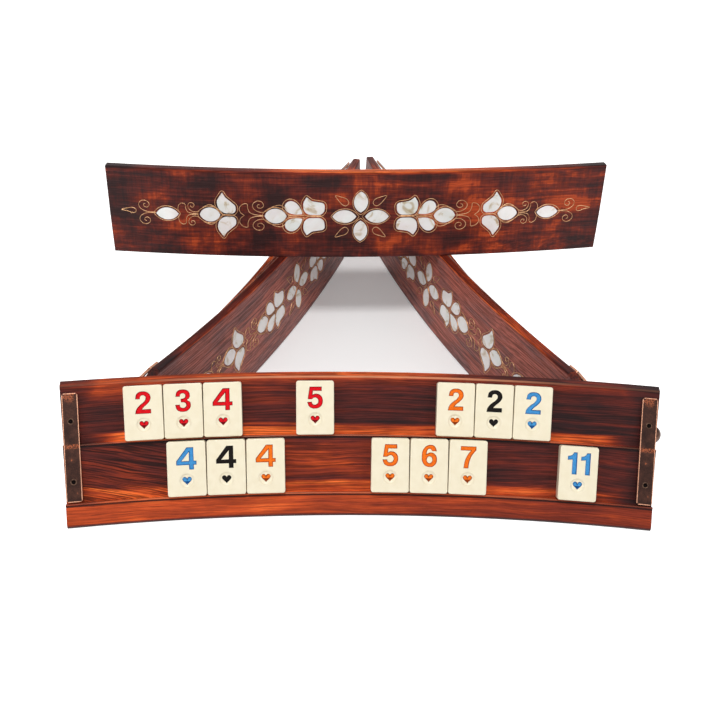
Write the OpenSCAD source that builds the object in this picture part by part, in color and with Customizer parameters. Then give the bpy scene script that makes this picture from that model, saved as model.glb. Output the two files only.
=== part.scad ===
// Set of four wooden tile racks, bowed in plan, with pearl set into their backs.
// The front rack holds loose tiles. Two more stand behind it, and the fourth lies across those two.

/* [Rack body] */
// Length of a rack along its bowed back edge
rack_l = 380; // [320:5:400]
// Height of a rack
rack_h = 69.4; // [66:0.2:74]
// Plan radius of the bow, at the back top edge
bow_r = 1325; // [1200:5:1450]
// Lean of the tile side, from upright
lean = 41; // [40:0.5:43]
// Width of the flat top edge
top_w = 6; // [5:0.2:8]
// How far the base stands out behind the top edge
back_run = 3.2; // [1:0.2:4]

/* [Ledges] */
// Distance up the slope to the lower ledge
rail_w = 19; // [17:0.2:19.4]
// Distance up the slope to the middle ledge
mid_w = 55; // [55:0.2:57]
// Depth of each ledge
ledge_d = 4; // [3:0.25:6]
// Thickness of the nosing at each ledge
nose_t = 1.2; // [1:0.2:1.2]
// How far the nosing stands over the face below it
nose_over = 0.8; // [0.4:0.1:1.2]
// Radius of the rounded foot
foot_r = 3; // [2:0.5:4]
// Radius of the foot's corners at the ends
end_r = 3; // [2:0.5:5]

/* [End straps] */
// Width of a strap
strap_w = 9.5; // [8:0.5:12]
// Length of a strap
strap_l = 67; // [60:1:70]
// Thickness of a strap
strap_t = 1.5; // [1:0.25:2]
// Distance up the slope to a strap's lower end
strap_low = 20; // [19.6:0.2:22]
// Gap between a strap and the end of the rack
strap_inset = 1.2; // [0.5:0.1:3]
// Distance from a strap's lower end to its lower screw
screw_low = 12.2; // [10:0.2:16]
// Distance from a strap's lower end to its upper screw
screw_high = 49.5; // [44:0.5:54]

/* [End stud] */
// Diameter of the domed head
stud_d = 11.4; // [9:0.2:13]
// Height of the domed head
stud_h = 4; // [3:0.5:6]
// Distance up the slope to the stud
stud_w = 65; // [60:1:70]
// Depth of the stud's centre below the slope
stud_in = 8.5; // [7:0.5:11]

/* [Inlay] */
// Height of the inlay's middle line above the base
inlay_z = 34.2; // [32:0.2:36]
// Thickness of the pearl
pearl_t = 1.2; // [0.8:0.1:2]
// How far the pearl stands out of the wood
pearl_proud = 0.1; // [0:0.05:0.2]

/* [Tiles] */
// Width of a tile
tile_w = 23.8; // [22:0.2:23.8]
// Height of a tile
tile_h = 34; // [32:0.2:34]
// Thickness of a tile
tile_t = 8; // [6:0.5:9]
// Corner radius of a tile's face
tile_r = 1.5; // [1:0.1:3]
// Diameter of the dimple in the face
dimple_d = 10; // [8:0.5:12]
// Depth of the dimple
dimple_t = 0.5; // [0.3:0.1:0.8]
// Distance along the ledge from one tile to the next in a group
tile_pitch = 24.3; // [24.3:0.1:25]

/* [Arrangement] */
// Distance of the upper rack behind the front rack
far_y = 158; // [150:1:170]
// Turn of the upper rack
far_turn = 182.6; // [178:0.1:184]
// Turn of the left rack
left_turn = -111; // [-111.4:0.1:-110.6]
// Turn of the right rack
right_turn = 108.6; // [108.2:0.1:109]

/* [Hidden] */

fine = 48;
bow_fine = 1440;
wood_colour = "#6e2e1e";
pearl_colour = "#ebebe4";
copper_colour = "#7a5038";
screw_colour = "#3a332e";
tile_colour = "#f0e8d2";

bow_angle = rack_l / bow_r * 180 / PI;
slope_l = rack_h / cos(lean);
up_slope = [sin(lean), cos(lean)];
into_wood = [cos(lean), -sin(lean)];
foot_point = [-top_w - slope_l * up_slope.x, 0];

// A point of the section, w up the slope and d below it, as [depth, height].
function slope(w, d = 0) = foot_point + w * up_slope + d * into_wood;

// Each tier sinks from its upper end to the full ledge depth at its lower end.
upper_sink = atan(ledge_d / (slope_l - mid_w));
lower_sink = atan((ledge_d - nose_over) / (mid_w - nose_t - rail_w));
upper_seat = slope(mid_w + ledge_d * tan(upper_sink), ledge_d);
lower_seat = slope(rail_w + ledge_d * tan(lower_sink), ledge_d);

function unit(v) = v / norm(v);

// Points of an arc of radius r that rounds the corner b between a and c.
function rounded(a, b, c, r, steps) =
  r == 0 ? [b] :
  let (u = unit(a - b), v = unit(c - b), half = acos(u * v) / 2,
       o = b + unit(u + v) * r / sin(half),
       p = b + u * r / tan(half) - o, q = b + v * r / tan(half) - o,
       from = atan2(p.y, p.x), turn = (atan2(q.y, q.x) - from + 540) % 360 - 180)
  [for (i = [0:steps]) o + r * [cos(from + turn * i / steps), sin(from + turn * i / steps)]];

// Corners of the rack's section, each as [point, radius].
section_corners = [
  [[back_run, 0], 1.2],
  [[0, rack_h], 1],
  [[-top_w, rack_h], 1.4],
  [upper_seat, 0],
  [slope(mid_w), 0.7],
  [slope(mid_w - nose_t), 0.5],
  [slope(mid_w - nose_t, nose_over), 0],
  [lower_seat, 0],
  [slope(rail_w), 0.7],
  [slope(rail_w - nose_t), 0.5],
  [slope(rail_w - nose_t, nose_over), 0],
  [slope(nose_over / tan(90 - lean), nose_over), foot_r]
];

// Corners of the rack in plan, which round its ends. The back ones meet beyond the bow.
function plan(depth, end) = [
  (bow_r + depth) * sin(end * bow_angle / 2), (bow_r + depth) * cos(bow_angle / 2) - bow_r
];
plan_corners = [
  [plan(foot_point.x, -1), end_r],
  [plan(back_run, -1), end_r / 2],
  [[0, (bow_r + back_run) / cos(bow_angle / 2) - bow_r], 0],
  [plan(back_run, 1), end_r / 2],
  [plan(foot_point.x, 1), end_r]
];

// Outline of corners given as [point, radius].
function outline(corners, steps = 3) = [
  for (i = [0:len(corners) - 1])
    let (n = len(corners), before = corners[(i + n - 1) % n][0], after = corners[(i + 1) % n][0])
      each rounded(before, corners[i][0], after, corners[i][1], corners[i][1] > 2 ? 2 * steps : steps)
];

// Sweeps a section, given as [depth, height], round the bow.
module bowed(points, angle = bow_angle) {
  translate([0, -bow_r, 0])
    rotate([0, 0, 90 - angle / 2])
      rotate_extrude(angle = angle, $fn = bow_fine)
        translate([bow_r, 0])
          polygon(points);
}

// Turns its children to the place s along the bow.
module along_bow(s) {
  translate([0, -bow_r, 0])
    rotate([0, 0, -s / bow_r * 180 / PI])
      translate([0, bow_r, 0])
        children();
}

// Lays its children on the slope: X across, Y up the slope, Z out of the wood.
module on_slope(w, d = 0) {
  translate([0, slope(w, d).x, slope(w, d).y])
    rotate([90 - lean, 0, 0])
      children();
}

// Pointed leaf of two arcs, length l along X.
module leaf(l, w) {
  r = (l * l + w * w) / (4 * w);
  intersection() {
    translate([0, w / 2 - r]) circle(r, $fn = 96);
    translate([0, r - w / 2]) circle(r, $fn = 96);
  }
}

// Drop with its point on +X.
module drop(l, w) {
  steps = 28;
  blunt = 0.82;
  peak = max([for (i = [1:steps - 1]) sin(180 * i / steps) * pow(sin(90 * i / steps), blunt)]);
  polygon([
    for (i = [0:steps - 1])
      let (t = 360 * i / steps, side = t < 180 ? 1 : -1)
        [l / 2 * cos(t),
         side * w / 2 * abs(sin(t)) * pow(sin(t < 180 ? t / 2 : 180 - t / 2), blunt) / peak]
  ]);
}

// Curled petals, nearly straight along one side, with the tip at the top.
wide_petal = [
  [[-8.7, 3.4], 3], [[-8.1, -6.2], 5], [[7.2, -6.1], 6], [[8.5, 3.3], 8], [[5.4, 8.2], 0.3],
  [[1.4, 5], 6]
];
tall_petal = [
  [[-7.4, -0.6], 3], [[-7.7, -6.8], 3.4], [[4.4, -7.2], 7.5], [[7.5, 2.5], 7], [[2.4, 9.9], 0.3],
  [[0.2, 6], 5]
];

module curled(corners, g) {
  scale(1 - g / 8) polygon(outline(corners, 7));
}

// One petal through the back face: s along the bow, v above the inlay's middle line.
module petal(s, v) {
  along_bow(s)
    translate([0, back_run + 2, inlay_z + v])
      rotate([90, 0, 0])
        linear_extrude(back_run + 6)
          children();
}

// Mirrors its children below the middle line when up is -1.
module flip(up) {
  mirror([0, up > 0 ? 0 : 1]) children();
}

// Petals of one half, from the rosette out to the rack's end. The gap g makes each one smaller.
module half_petals(g) {
  petal(12.4, 0) leaf(18.4 - 2 * g, 10.6 - g);
  for (up = [1, -1]) {
    petal(35.6, up * 7.3) flip(up) curled(wide_petal, g);
    petal(50.4, up * 6) flip(up) rotate(212.8) drop(15 - g, 9.9 - g);
    petal(101.6, up * 8.2) flip(up) curled(tall_petal, g);
  }
  petal(64.4, 0) leaf(17 - 2 * g, 12 - g);
  petal(113.8, 0) leaf(15.8 - 2 * g, 11.4 - g);
  petal(146, -0.4) leaf(17.4 - 2 * g, 9.8 - g);
}

module petals(g = 0) {
  for (v = [11.7, -11.7]) petal(0, v) rotate(90) leaf(17 - 2 * g, 10.8 - g);
  half_petals(g);
  mirror([1, 0, 0]) half_petals(g);
}

// The layer of the back face between two depths, tall enough for the inlay.
module back_layer(outer, inner) {
  low = inlay_z - 24;
  high = inlay_z + 24;
  run = back_run / rack_h;
  bowed([
    [back_run - run * low + outer, low], [back_run - run * high + outer, high],
    [back_run - run * high - inner, high], [back_run - run * low - inner, low]
  ]);
}

// Where a strap's middle lies along the bow.
strap_s = rack_l / 2 - strap_inset - strap_w / 2;
screw_ws = [strap_low + screw_low, strap_low + screw_high];

// Screw: countersunk head, shank and point, with the head's top at zero.
head_d = 4.2;
head_t = 1.3;
shank_d = 2.2;
shank_l = 11;
bore_gap = 0.05;

// Places its children at each screw, or at each strap, of the ends named.
module at_screws(ends) {
  for (end = ends, w = screw_ws)
    along_bow(end * strap_s) on_slope(w, -strap_t) children();
}

module screw_shape(gap = 0) {
  mirror([0, 0, 1]) {
    cylinder(h = head_t, d1 = head_d + 2 * gap, d2 = shank_d + 2 * gap, $fn = fine);
    cylinder(h = shank_l, d = shank_d + 2 * gap, $fn = fine);
    translate([0, 0, shank_l])
      cylinder(h = 2 + gap, d1 = shank_d + 2 * gap, d2 = 0.4, $fn = fine);
  }
}

// Stud: a domed head with a spigot into the end of the rack, pointing along X.
spigot_d = 5;
spigot_l = 10;
module at_stud() {
  along_bow(rack_l / 2)
    translate([0, slope(stud_w, stud_in).x, slope(stud_w, stud_in).y])
      rotate([0, 90, 0])
        children();
}

module stud_shape() {
  dome_r = (stud_d * stud_d / 4 + stud_h * stud_h) / (2 * stud_h);
  intersection() {
    cylinder(h = stud_h, d = stud_d, $fn = fine);
    translate([0, 0, stud_h - dome_r]) sphere(dome_r, $fn = fine);
  }
  translate([0, 0, -spigot_l]) cylinder(h = spigot_l, d = spigot_d, $fn = fine);
}

module rack_wood() {
  color(wood_colour)
    difference() {
      intersection() {
        bowed(outline(section_corners), bow_angle + 0.2);
        linear_extrude(rack_h) polygon(outline(plan_corners));
      }
      intersection() {
        back_layer(1, pearl_t);
        petals();
      }
      at_screws([1, -1]) screw_shape(bore_gap);
      at_stud() translate([0, 0, -spigot_l - 0.5])
        cylinder(h = spigot_l + 1, d = spigot_d + 2 * bore_gap, $fn = fine);
    }
}

module pearl_inlay() {
  color(pearl_colour)
    intersection() {
      back_layer(pearl_proud, pearl_t);
      petals(0.2);
    }
}

// Flat bar with rounded corners and two countersunk holes, at one end of the rack.
module strap(end) {
  r = 1.6;
  color(copper_colour)
    difference() {
      along_bow(end * strap_s) on_slope(strap_low)
        linear_extrude(strap_t) {
          translate([-strap_w / 2 + r, 0]) square([strap_w - 2 * r, strap_l]);
          translate([-strap_w / 2, r]) square([strap_w, strap_l - 2 * r]);
          for (x = [-1, 1], y = [r, strap_l - r])
            translate([x * (strap_w / 2 - r), y]) circle(r, $fn = fine);
        }
      at_screws([end]) screw_shape(bore_gap);
    }
}

module strap_screws() {
  color(screw_colour) at_screws([1, -1]) screw_shape();
}

module end_stud() {
  color(copper_colour) at_stud() stud_shape();
}

// Upright rectangle w by h with round corners, its lower edge on the X axis.
module rounded_card(w, h, r) {
  translate([-w / 2 + r, 0]) square([w - 2 * r, h]);
  translate([-w / 2, r]) square([w, h - 2 * r]);
  for (x = [-1, 1], y = [r, h - r])
    translate([x * (w / 2 - r), y]) circle(r, $fn = fine);
}

// Tile lying on its back: X across, Y up, Z out of its face.
edge_r = 0.6;
dimple_y = 0.29;
module tile_shape() {
  dimple_r = (dimple_d * dimple_d / 4 + dimple_t * dimple_t) / (2 * dimple_t);
  difference() {
    intersection() {
      linear_extrude(tile_t) rounded_card(tile_w, tile_h, tile_r);
      translate([-tile_w / 2, tile_h / 2, 0]) rotate([90, 0, 90])
        linear_extrude(tile_w) rounded_card(tile_h, tile_t, edge_r);
      translate([0, tile_h, 0]) rotate([90, 0, 0])
        linear_extrude(tile_h) rounded_card(tile_w, tile_t, edge_r);
    }
    translate([0, tile_h * dimple_y, tile_t - dimple_t + dimple_r]) sphere(dimple_r, $fn = 120);
  }
}

// Tile standing on a ledge, just clear of the wood. Its group's middle is at s along the bow,
// and it stands the given number of places to the right of that.
tile_gap = 0.2;
upper_lean = lean - upper_sink;
lower_lean = lean - lower_sink;
module tile(s, places, upper) {
  seat = upper ? upper_seat : lower_seat;
  tier_lean = upper ? upper_lean : lower_lean;
  color(tile_colour)
    along_bow(s + places * tile_pitch * bow_r / (bow_r + seat.x)) translate([0, seat.x, seat.y])
      rotate([90 - tier_lean, 0, 0])
        translate([0, tile_gap, tile_gap])
          tile_shape();
}

// Places of the four racks. The three others are set out from the front one.
module front_place() { children(); }
module left_place() { translate([-48.7, 171.6, 0]) rotate([0, 0, left_turn]) children(); }
module right_place() { translate([60.4, 175.6, 0]) rotate([0, 0, right_turn]) children(); }
module far_place() { translate([1.6, far_y, rack_h + 0.1]) rotate([0, 0, far_turn]) children(); }

front_place() rack_wood();  // front_rack_wood
front_place() pearl_inlay();  // front_pearl_inlay
front_place() strap(-1);  // front_strap_left
front_place() strap(1);  // front_strap_right
front_place() strap_screws();  // front_strap_screws
front_place() end_stud();  // front_end_stud
left_place() rack_wood();  // left_rack_wood
left_place() pearl_inlay();  // left_pearl_inlay
left_place() strap(-1);  // left_strap_left
left_place() strap(1);  // left_strap_right
left_place() strap_screws();  // left_strap_screws
left_place() end_stud();  // left_end_stud
right_place() rack_wood();  // right_rack_wood
right_place() pearl_inlay();  // right_pearl_inlay
right_place() strap(-1);  // right_strap_left
right_place() strap(1);  // right_strap_right
right_place() strap_screws();  // right_strap_screws
right_place() end_stud();  // right_end_stud
far_place() rack_wood();  // far_rack_wood
far_place() pearl_inlay();  // far_pearl_inlay
far_place() strap(-1);  // far_strap_left
far_place() strap(1);  // far_strap_right
far_place() strap_screws();  // far_strap_screws
far_place() end_stud();  // far_end_stud
tile(-113.9, -1, true);  // tile_upper_2_red
tile(-113.9, 0, true);  // tile_upper_3_red
tile(-113.9, 1, true);  // tile_upper_4_red
tile(-30.4, 0, true);  // tile_upper_5_red
tile(84.6, -1, true);  // tile_upper_2_orange
tile(84.6, 0, true);  // tile_upper_2_black
tile(84.6, 1, true);  // tile_upper_2_blue
tile(-87.6, -1, false);  // tile_lower_4_blue
tile(-87.6, 0, false);  // tile_lower_4_black
tile(-87.6, 1, false);  // tile_lower_4_orange
tile(43.5, -1, false);  // tile_lower_5_orange
tile(43.5, 0, false);  // tile_lower_6_orange
tile(43.5, 1, false);  // tile_lower_7_orange
tile(140.1, 0, false);  // tile_lower_11_blue
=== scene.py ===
import math
from types import SimpleNamespace

import bmesh
import bpy
from mathutils import Matrix, Vector


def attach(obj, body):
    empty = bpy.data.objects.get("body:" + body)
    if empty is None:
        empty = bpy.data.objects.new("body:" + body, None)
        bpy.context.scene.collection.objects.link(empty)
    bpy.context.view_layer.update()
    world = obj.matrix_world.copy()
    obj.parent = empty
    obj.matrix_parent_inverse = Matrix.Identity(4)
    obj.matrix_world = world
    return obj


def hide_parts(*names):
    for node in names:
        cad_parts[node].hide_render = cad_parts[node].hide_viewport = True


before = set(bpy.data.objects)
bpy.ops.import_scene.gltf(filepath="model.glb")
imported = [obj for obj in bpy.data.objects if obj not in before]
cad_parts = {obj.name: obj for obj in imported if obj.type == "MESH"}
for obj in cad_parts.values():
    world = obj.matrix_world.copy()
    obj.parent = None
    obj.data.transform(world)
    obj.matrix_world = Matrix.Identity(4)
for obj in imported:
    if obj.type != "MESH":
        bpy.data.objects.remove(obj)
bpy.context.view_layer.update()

# Sizes in millimetres, the same as the frame's.
MM = 0.001
RACK_L, RACK_H, BOW_R = 380.0, 69.4, 1325.0
LEAN = math.radians(41)
TOP_W, BACK_RUN = 6.0, 3.2
RAIL_W, MID_W, LEDGE_D = 19.0, 55.0, 4.0
NOSE_T, NOSE_OVER = 1.2, 0.8
INLAY_Z = 34.2
STRAP_W, STRAP_L, STRAP_T, STRAP_LOW, STRAP_INSET = 9.5, 67.0, 1.5, 20.0, 1.2
STRAP_S = RACK_L / 2 - STRAP_INSET - STRAP_W / 2
SCREW_YS = (12.2, 49.5)
TILE_W, TILE_H, TILE_T, TILE_R, TILE_EDGE = 23.8, 34.0, 8.0, 1.5, 0.6
TILE_PITCH, TILE_GAP = 24.3, 0.2
SLOPE_L = RACK_H / math.cos(LEAN)
UP = Vector((math.sin(LEAN), math.cos(LEAN)))
IN = Vector((math.cos(LEAN), -math.sin(LEAN)))
FOOT = Vector((-TOP_W - SLOPE_L * UP.x, 0))
UPPER_SINK = math.atan(LEDGE_D / (SLOPE_L - MID_W))
LOWER_SINK = math.atan((LEDGE_D - NOSE_OVER) / (MID_W - NOSE_T - RAIL_W))

# Place and turn of each rack.
RACKS = {
    "front": ((0, 0, 0), 0),
    "left": ((-48.7, 171.6, 0), -111),
    "right": ((60.4, 175.6, 0), 108.6),
    "far": ((1.6, 158, RACK_H + 0.1), 182.6),
}


def place(rack):
    """The rack's own millimetres to the scene's metres."""
    at, turn = RACKS[rack]
    return Matrix.Scale(MM, 4) @ Matrix.Translation(at) @ Matrix.Rotation(math.radians(turn), 4, "Z")


def along_bow(s):
    """To the place s along the bow."""
    return (Matrix.Translation((0, -BOW_R, 0)) @ Matrix.Rotation(-s / BOW_R, 4, "Z")
            @ Matrix.Translation((0, BOW_R, 0)))


def slope_point(w, d=0.0):
    """A point w up the slope and d below it, as depth and height."""
    return FOOT + w * UP + d * IN


def on_slope(w, d=0.0):
    """Onto the slope: X across, Y up the slope, Z out of the wood."""
    p = slope_point(w, d)
    return Matrix.Translation((0, p.x, p.y)) @ Matrix.Rotation(math.pi / 2 - LEAN, 4, "X")


# Materials.

# Kinds of node that most finishes use, and the smooth form of a range.
MATH, RANGE, NOISE = "ShaderNodeMath", "ShaderNodeMapRange", "ShaderNodeTexNoise"
VECTOR, XYZ, SPLIT = "ShaderNodeVectorMath", "ShaderNodeCombineXYZ", "ShaderNodeSeparateXYZ"
MIX, RAMP, BUMP = "ShaderNodeMix", "ShaderNodeValToRGB", "ShaderNodeBump"
SMOOTH = {"interpolation_type": "SMOOTHSTEP"}


def linear(hex_colour):
    """An sRGB hex colour as linear light."""
    def one(v):
        v /= 255
        return v / 12.92 if v <= 0.04045 else ((v + 0.055) / 1.055) ** 2.4
    return tuple(one(int(hex_colour[i:i + 2], 16)) for i in (1, 3, 5)) + (1.0,)


def add(tree, kind, *links, stops=(), **settings):
    """Adds a node and returns its first output. Links and plain values go to its sockets in their order.
    A setting is a property of the node or, under a socket's name, the link or value for that socket.
    Stops are the places and colours of a colour ramp."""
    n = tree.nodes.new(kind)
    named = {}
    for name, value in settings.items():
        if name in n.bl_rna.properties:
            setattr(n, name, value)
        else:
            named[name.replace("_", " ")] = value
    wanted = list(zip([s for s in n.inputs if s.enabled], links))
    wanted += [(n.inputs[name], value) for name, value in named.items()]
    for socket, value in wanted:
        if isinstance(value, bpy.types.NodeSocket):
            tree.links.new(value, socket)
        else:
            socket.default_value = value
    if stops:
        ends = n.color_ramp.elements
        while len(ends) < len(stops):
            ends.new(0.5)
        for end, (at, colour) in zip(ends, stops):
            end.position = at
            end.color = linear(colour) if isinstance(colour, str) else (colour, colour, colour, 1)
    return next((s for s in n.outputs if s.enabled), None)


def overlap(tree, *masks):
    """Where every one of the masks holds: all of them multiplied."""
    both = masks[0]
    for mask in masks[1:]:
        both = add(tree, MATH, both, mask, operation="MULTIPLY")
    return both


def total(tree, *amounts):
    """All the amounts added up."""
    found = amounts[0]
    for amount in amounts[1:]:
        found = add(tree, MATH, found, amount, operation="ADD")
    return found


def swings(tree, *patterns):
    """The patterns added up, each swung about zero over its amount."""
    found = -sum(amount for _, amount in patterns) / 2
    for pattern, amount in patterns:
        found = add(tree, MATH, pattern, amount, found, operation="MULTIPLY_ADD")
    return found


def new_finish(name):
    """A new material with its empty tree."""
    m = bpy.data.materials.new(name)
    m.use_nodes = True
    m.node_tree.nodes.clear()
    return m, m.node_tree


def surface(tree, **settings):
    """Ends a finish with its one Principled surface."""
    add(tree, "ShaderNodeOutputMaterial", add(tree, "ShaderNodeBsdfPrincipled", **settings))


def millimetres(tree, matrix=Matrix()):
    """Object coordinates in the millimetres of the place that the matrix leads to."""
    loc, rot, _ = matrix.decompose()
    at = add(tree, "ShaderNodeTexCoord").node.outputs["Object"]
    return add(tree, "ShaderNodeMapping", at, loc, rot.to_euler(), (MM, MM, MM), vector_type="TEXTURE")


# Sizes of the wood's patterns in millimetres, along the grain and across it. Ash has pores 0.1 to 0.3 mm
# wide, which are drawn at 0.36 so that they show.
PORES, LINES, RINGS, CLOUDS = (13, 0.36), (55, 0.8), (120, 2.6), (40, 13)
# The back has broad blotches and a fine curl across the grain.
BLOTCHES, CURL = (34, 24), (2.4, 22)
# The grain wanders by this much, in this many waves to a millimetre along it and across it.
WANDER, WANDER_ALONG, WANDER_ACROSS = 9, 0.011, 0.03
# The lower tier's left end, between these places along the bow, is cut across the grain. Its lines run
# down to the right, by this much to a millimetre.
SLANT_TO, SLANT_FROM, SLANT_MIDDLE, SLANT = -112, -96, -110, 0.22
# How deep the player's side goes below the slope. Beyond that is the back.
FRONT_DEEP = 6.5
# How burnt the player's side is at each height up the slope, in millimetres: the rail, the lower tier
# with its bright strip, the upper tier with its bright strip, and the top. 1 is black brown.
BURN_UP_SLOPE = (
    (0, 0.38), (17, 0.31), (19, 0.14), (24.5, 0.16), (28, 0.62), (50, 0.55), (53.5, 0.75), (55.5, 0.0),
    (59.5, 0.05), (63, 0.84), (76, 0.78), (88, 0.5), (93, 0.36))
BURN_COLOURS = (
    (0.0, "#ee7032"), (0.2, "#c04c22"), (0.42, "#822f1b"), (0.65, "#5a211b"), (0.85, "#401a18"),
    (1.0, "#2b1516"))
# How burnt the back is on the whole, and at its brightest spots.
BACK_BURN, BACK_LEAST = 0.6, 0.24
# How much more each rack's top edge is burnt, at its middle, its left end and its right end, and how strong
# the painted highlight along its front corner is.
TOP_EDGE = {
    "front": (-0.15, -0.05, 0.25, 0.8),
    "left": (0.5, 0.1, 0.35, 0.15),
    "right": (0.5, 0.35, 0.1, 0.15),
    "far": (-0.35, 0.3, 0.3, 0.4),
}


def rack_places(tree, rack):
    """Where a point is on its rack, in millimetres, and masks of the rack's parts."""
    x, y, z = add(tree, SPLIT, millimetres(tree, place(rack))).node.outputs
    y = add(tree, MATH, y, BOW_R, operation="ADD")
    from_axis = add(tree, VECTOR, add(tree, XYZ, x, y), operation="LENGTH")
    out = add(tree, MATH, from_axis, BOW_R, operation="SUBTRACT")
    along = add(tree, MATH, add(tree, MATH, x, y, operation="ARCTAN2"), BOW_R, operation="MULTIPLY")
    from_foot = add(tree, XYZ, add(tree, MATH, out, FOOT.x, operation="SUBTRACT"), z)
    up = add(tree, VECTOR, from_foot, UP.to_3d(), operation="DOT_PRODUCT")
    below = add(tree, VECTOR, from_foot, IN.to_3d(), operation="DOT_PRODUCT")
    front = add(tree, RANGE, below, FRONT_DEEP, FRONT_DEEP - 1.5, **SMOOTH)
    slanting = overlap(
        tree,
        add(tree, RANGE, along, SLANT_FROM, SLANT_TO, **SMOOTH),
        add(tree, RANGE, up, MID_W - 0.5, MID_W - 1.5, **SMOOTH),
        add(tree, RANGE, up, RAIL_W - 0.5, RAIL_W + 0.5, **SMOOTH))
    return SimpleNamespace(
        along=along, out=out, z=z, up=up, below=below, front=front, slanting=slanting,
        from_middle=add(tree, MATH, along, operation="ABSOLUTE"),
        back=add(tree, MATH, 1.0, front, operation="SUBTRACT"))


def wood_patterns(tree, at, seed):
    """The wood's patterns, each as noise between 0 and 1. The seed picks the part of them that shows."""
    waves = add(
        tree, XYZ,
        add(tree, MATH, at.along, WANDER_ALONG, operation="MULTIPLY"),
        add(tree, MATH, at.up, WANDER_ACROSS, operation="MULTIPLY"),
        add(tree, MATH, at.below, WANDER_ACROSS, seed, operation="MULTIPLY_ADD"))
    from_slant = add(tree, MATH, at.along, SLANT_MIDDLE, operation="SUBTRACT")
    across = total(
        tree, at.up, overlap(tree, at.slanting, from_slant, SLANT),
        overlap(tree, add(tree, NOISE, waves, 1.0, 2), WANDER))
    depth = add(tree, MATH, at.below, seed * 17.3, operation="ADD")

    def noise_in(size, height, layer, detail, roughness, distortion=0.0):
        """Noise in patches of that size, in one of its layers."""
        spot = add(
            tree, XYZ,
            add(tree, MATH, at.along, size[0], operation="DIVIDE"),
            add(tree, MATH, height, size[1], operation="DIVIDE"), layer)
        return add(tree, NOISE, spot, 1.0, detail, roughness, Distortion=distortion)

    def grain(size, height, detail, roughness=0.6):
        """Noise that goes through the wood's depth as well."""
        layer = add(tree, MATH, depth, size[1], operation="DIVIDE")
        return noise_in(size, height, layer, detail, roughness)

    return SimpleNamespace(
        pores=grain(PORES, across, 2),
        lines=grain(LINES, across, 3),
        rings=grain(RINGS, across, 3),
        clouds=grain(CLOUDS, at.up, 3, 0.55),
        blotches=noise_in(BLOTCHES, at.z, seed * 3.7, 4, 0.6, 0.4),
        curl=noise_in(CURL, at.z, seed * 5.1, 3, 0.6))


def how_burnt(tree, at, grain, rack, lighter, figured):
    """How burnt each spot is, from bright orange at 0 to black brown at 1."""
    # The tiers' bright strips have ragged edges.
    ragged = overlap(
        tree, swings(tree, (grain.rings, 7), (grain.lines, 3)),
        add(tree, RANGE, at.up, RAIL_W + 1, RAIL_W + 5, **SMOOTH))
    height = add(tree, MATH, total(tree, at.up, ragged), 100, operation="DIVIDE")
    profile = add(tree, RAMP, height, stops=[(up / 100, burn) for up, burn in BURN_UP_SLOPE])
    # The rack's ends are burnt dark, and its right half a little more than its left.
    dark_ends = overlap(
        tree,
        add(tree, RANGE, at.from_middle, 150, 180, **SMOOTH),
        add(tree, RANGE, at.up, RAIL_W - 2, RAIL_W + 2, 0.3, 0.75, **SMOOTH),
        add(tree, MATH, at.slanting, -0.7, 1.0, operation="MULTIPLY_ADD"))
    profile = total(
        tree, add(tree, MATH, profile, dark_ends, operation="MAXIMUM"),
        add(tree, RANGE, at.along, -60, 110, -0.05, 0.14, **SMOOTH))
    # The rail is burnt more evenly than the rest.
    uneven = overlap(
        tree, swings(tree, (grain.clouds, 0.9), (grain.rings, 0.8)),
        add(tree, RANGE, at.up, RAIL_W - 1, RAIL_W + 1, 0.5, 1.0, **SMOOTH))
    figure = overlap(
        tree, swings(tree, (grain.blotches, 2.1 * figured), (grain.curl, 0.6 * figured)), at.back)
    # The lowest few millimetres, the foot and the underside, are darker, most on the player's side, and
    # parts of the top edge are scorched dark.
    foot = overlap(
        tree, add(tree, RANGE, at.z, 4.2, 2, **SMOOTH),
        add(tree, MATH, at.front, 0.5, 0.12, operation="MULTIPLY_ADD"))
    middle, left_end, right_end, _ = TOP_EDGE[rack]
    top_burn = total(
        tree,
        add(tree, RANGE, at.along, -60, -150, 0, left_end - middle, **SMOOTH),
        add(tree, RANGE, at.along, 40, 120, 0, right_end - middle, **SMOOTH), middle)
    top = overlap(tree, top_burn, add(tree, RANGE, at.z, RACK_H - 0.8, RACK_H - 0.3, **SMOOTH))
    # A figured back is burnt less towards its left end.
    less = overlap(
        tree, at.back,
        add(tree, RANGE, at.along, 150, -150, 0.12 * figured, -0.1 * figured, **SMOOTH))
    burnt = total(
        tree, add(tree, MIX, at.front, BACK_BURN, profile), uneven, overlap(tree, at.slanting, 0.12),
        figure, foot, top, less, -lighter)
    # No spot of the back is as bright as the strips of the tiers.
    return add(tree, MATH, burnt, overlap(tree, at.back, BACK_LEAST), operation="MAXIMUM")


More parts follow.
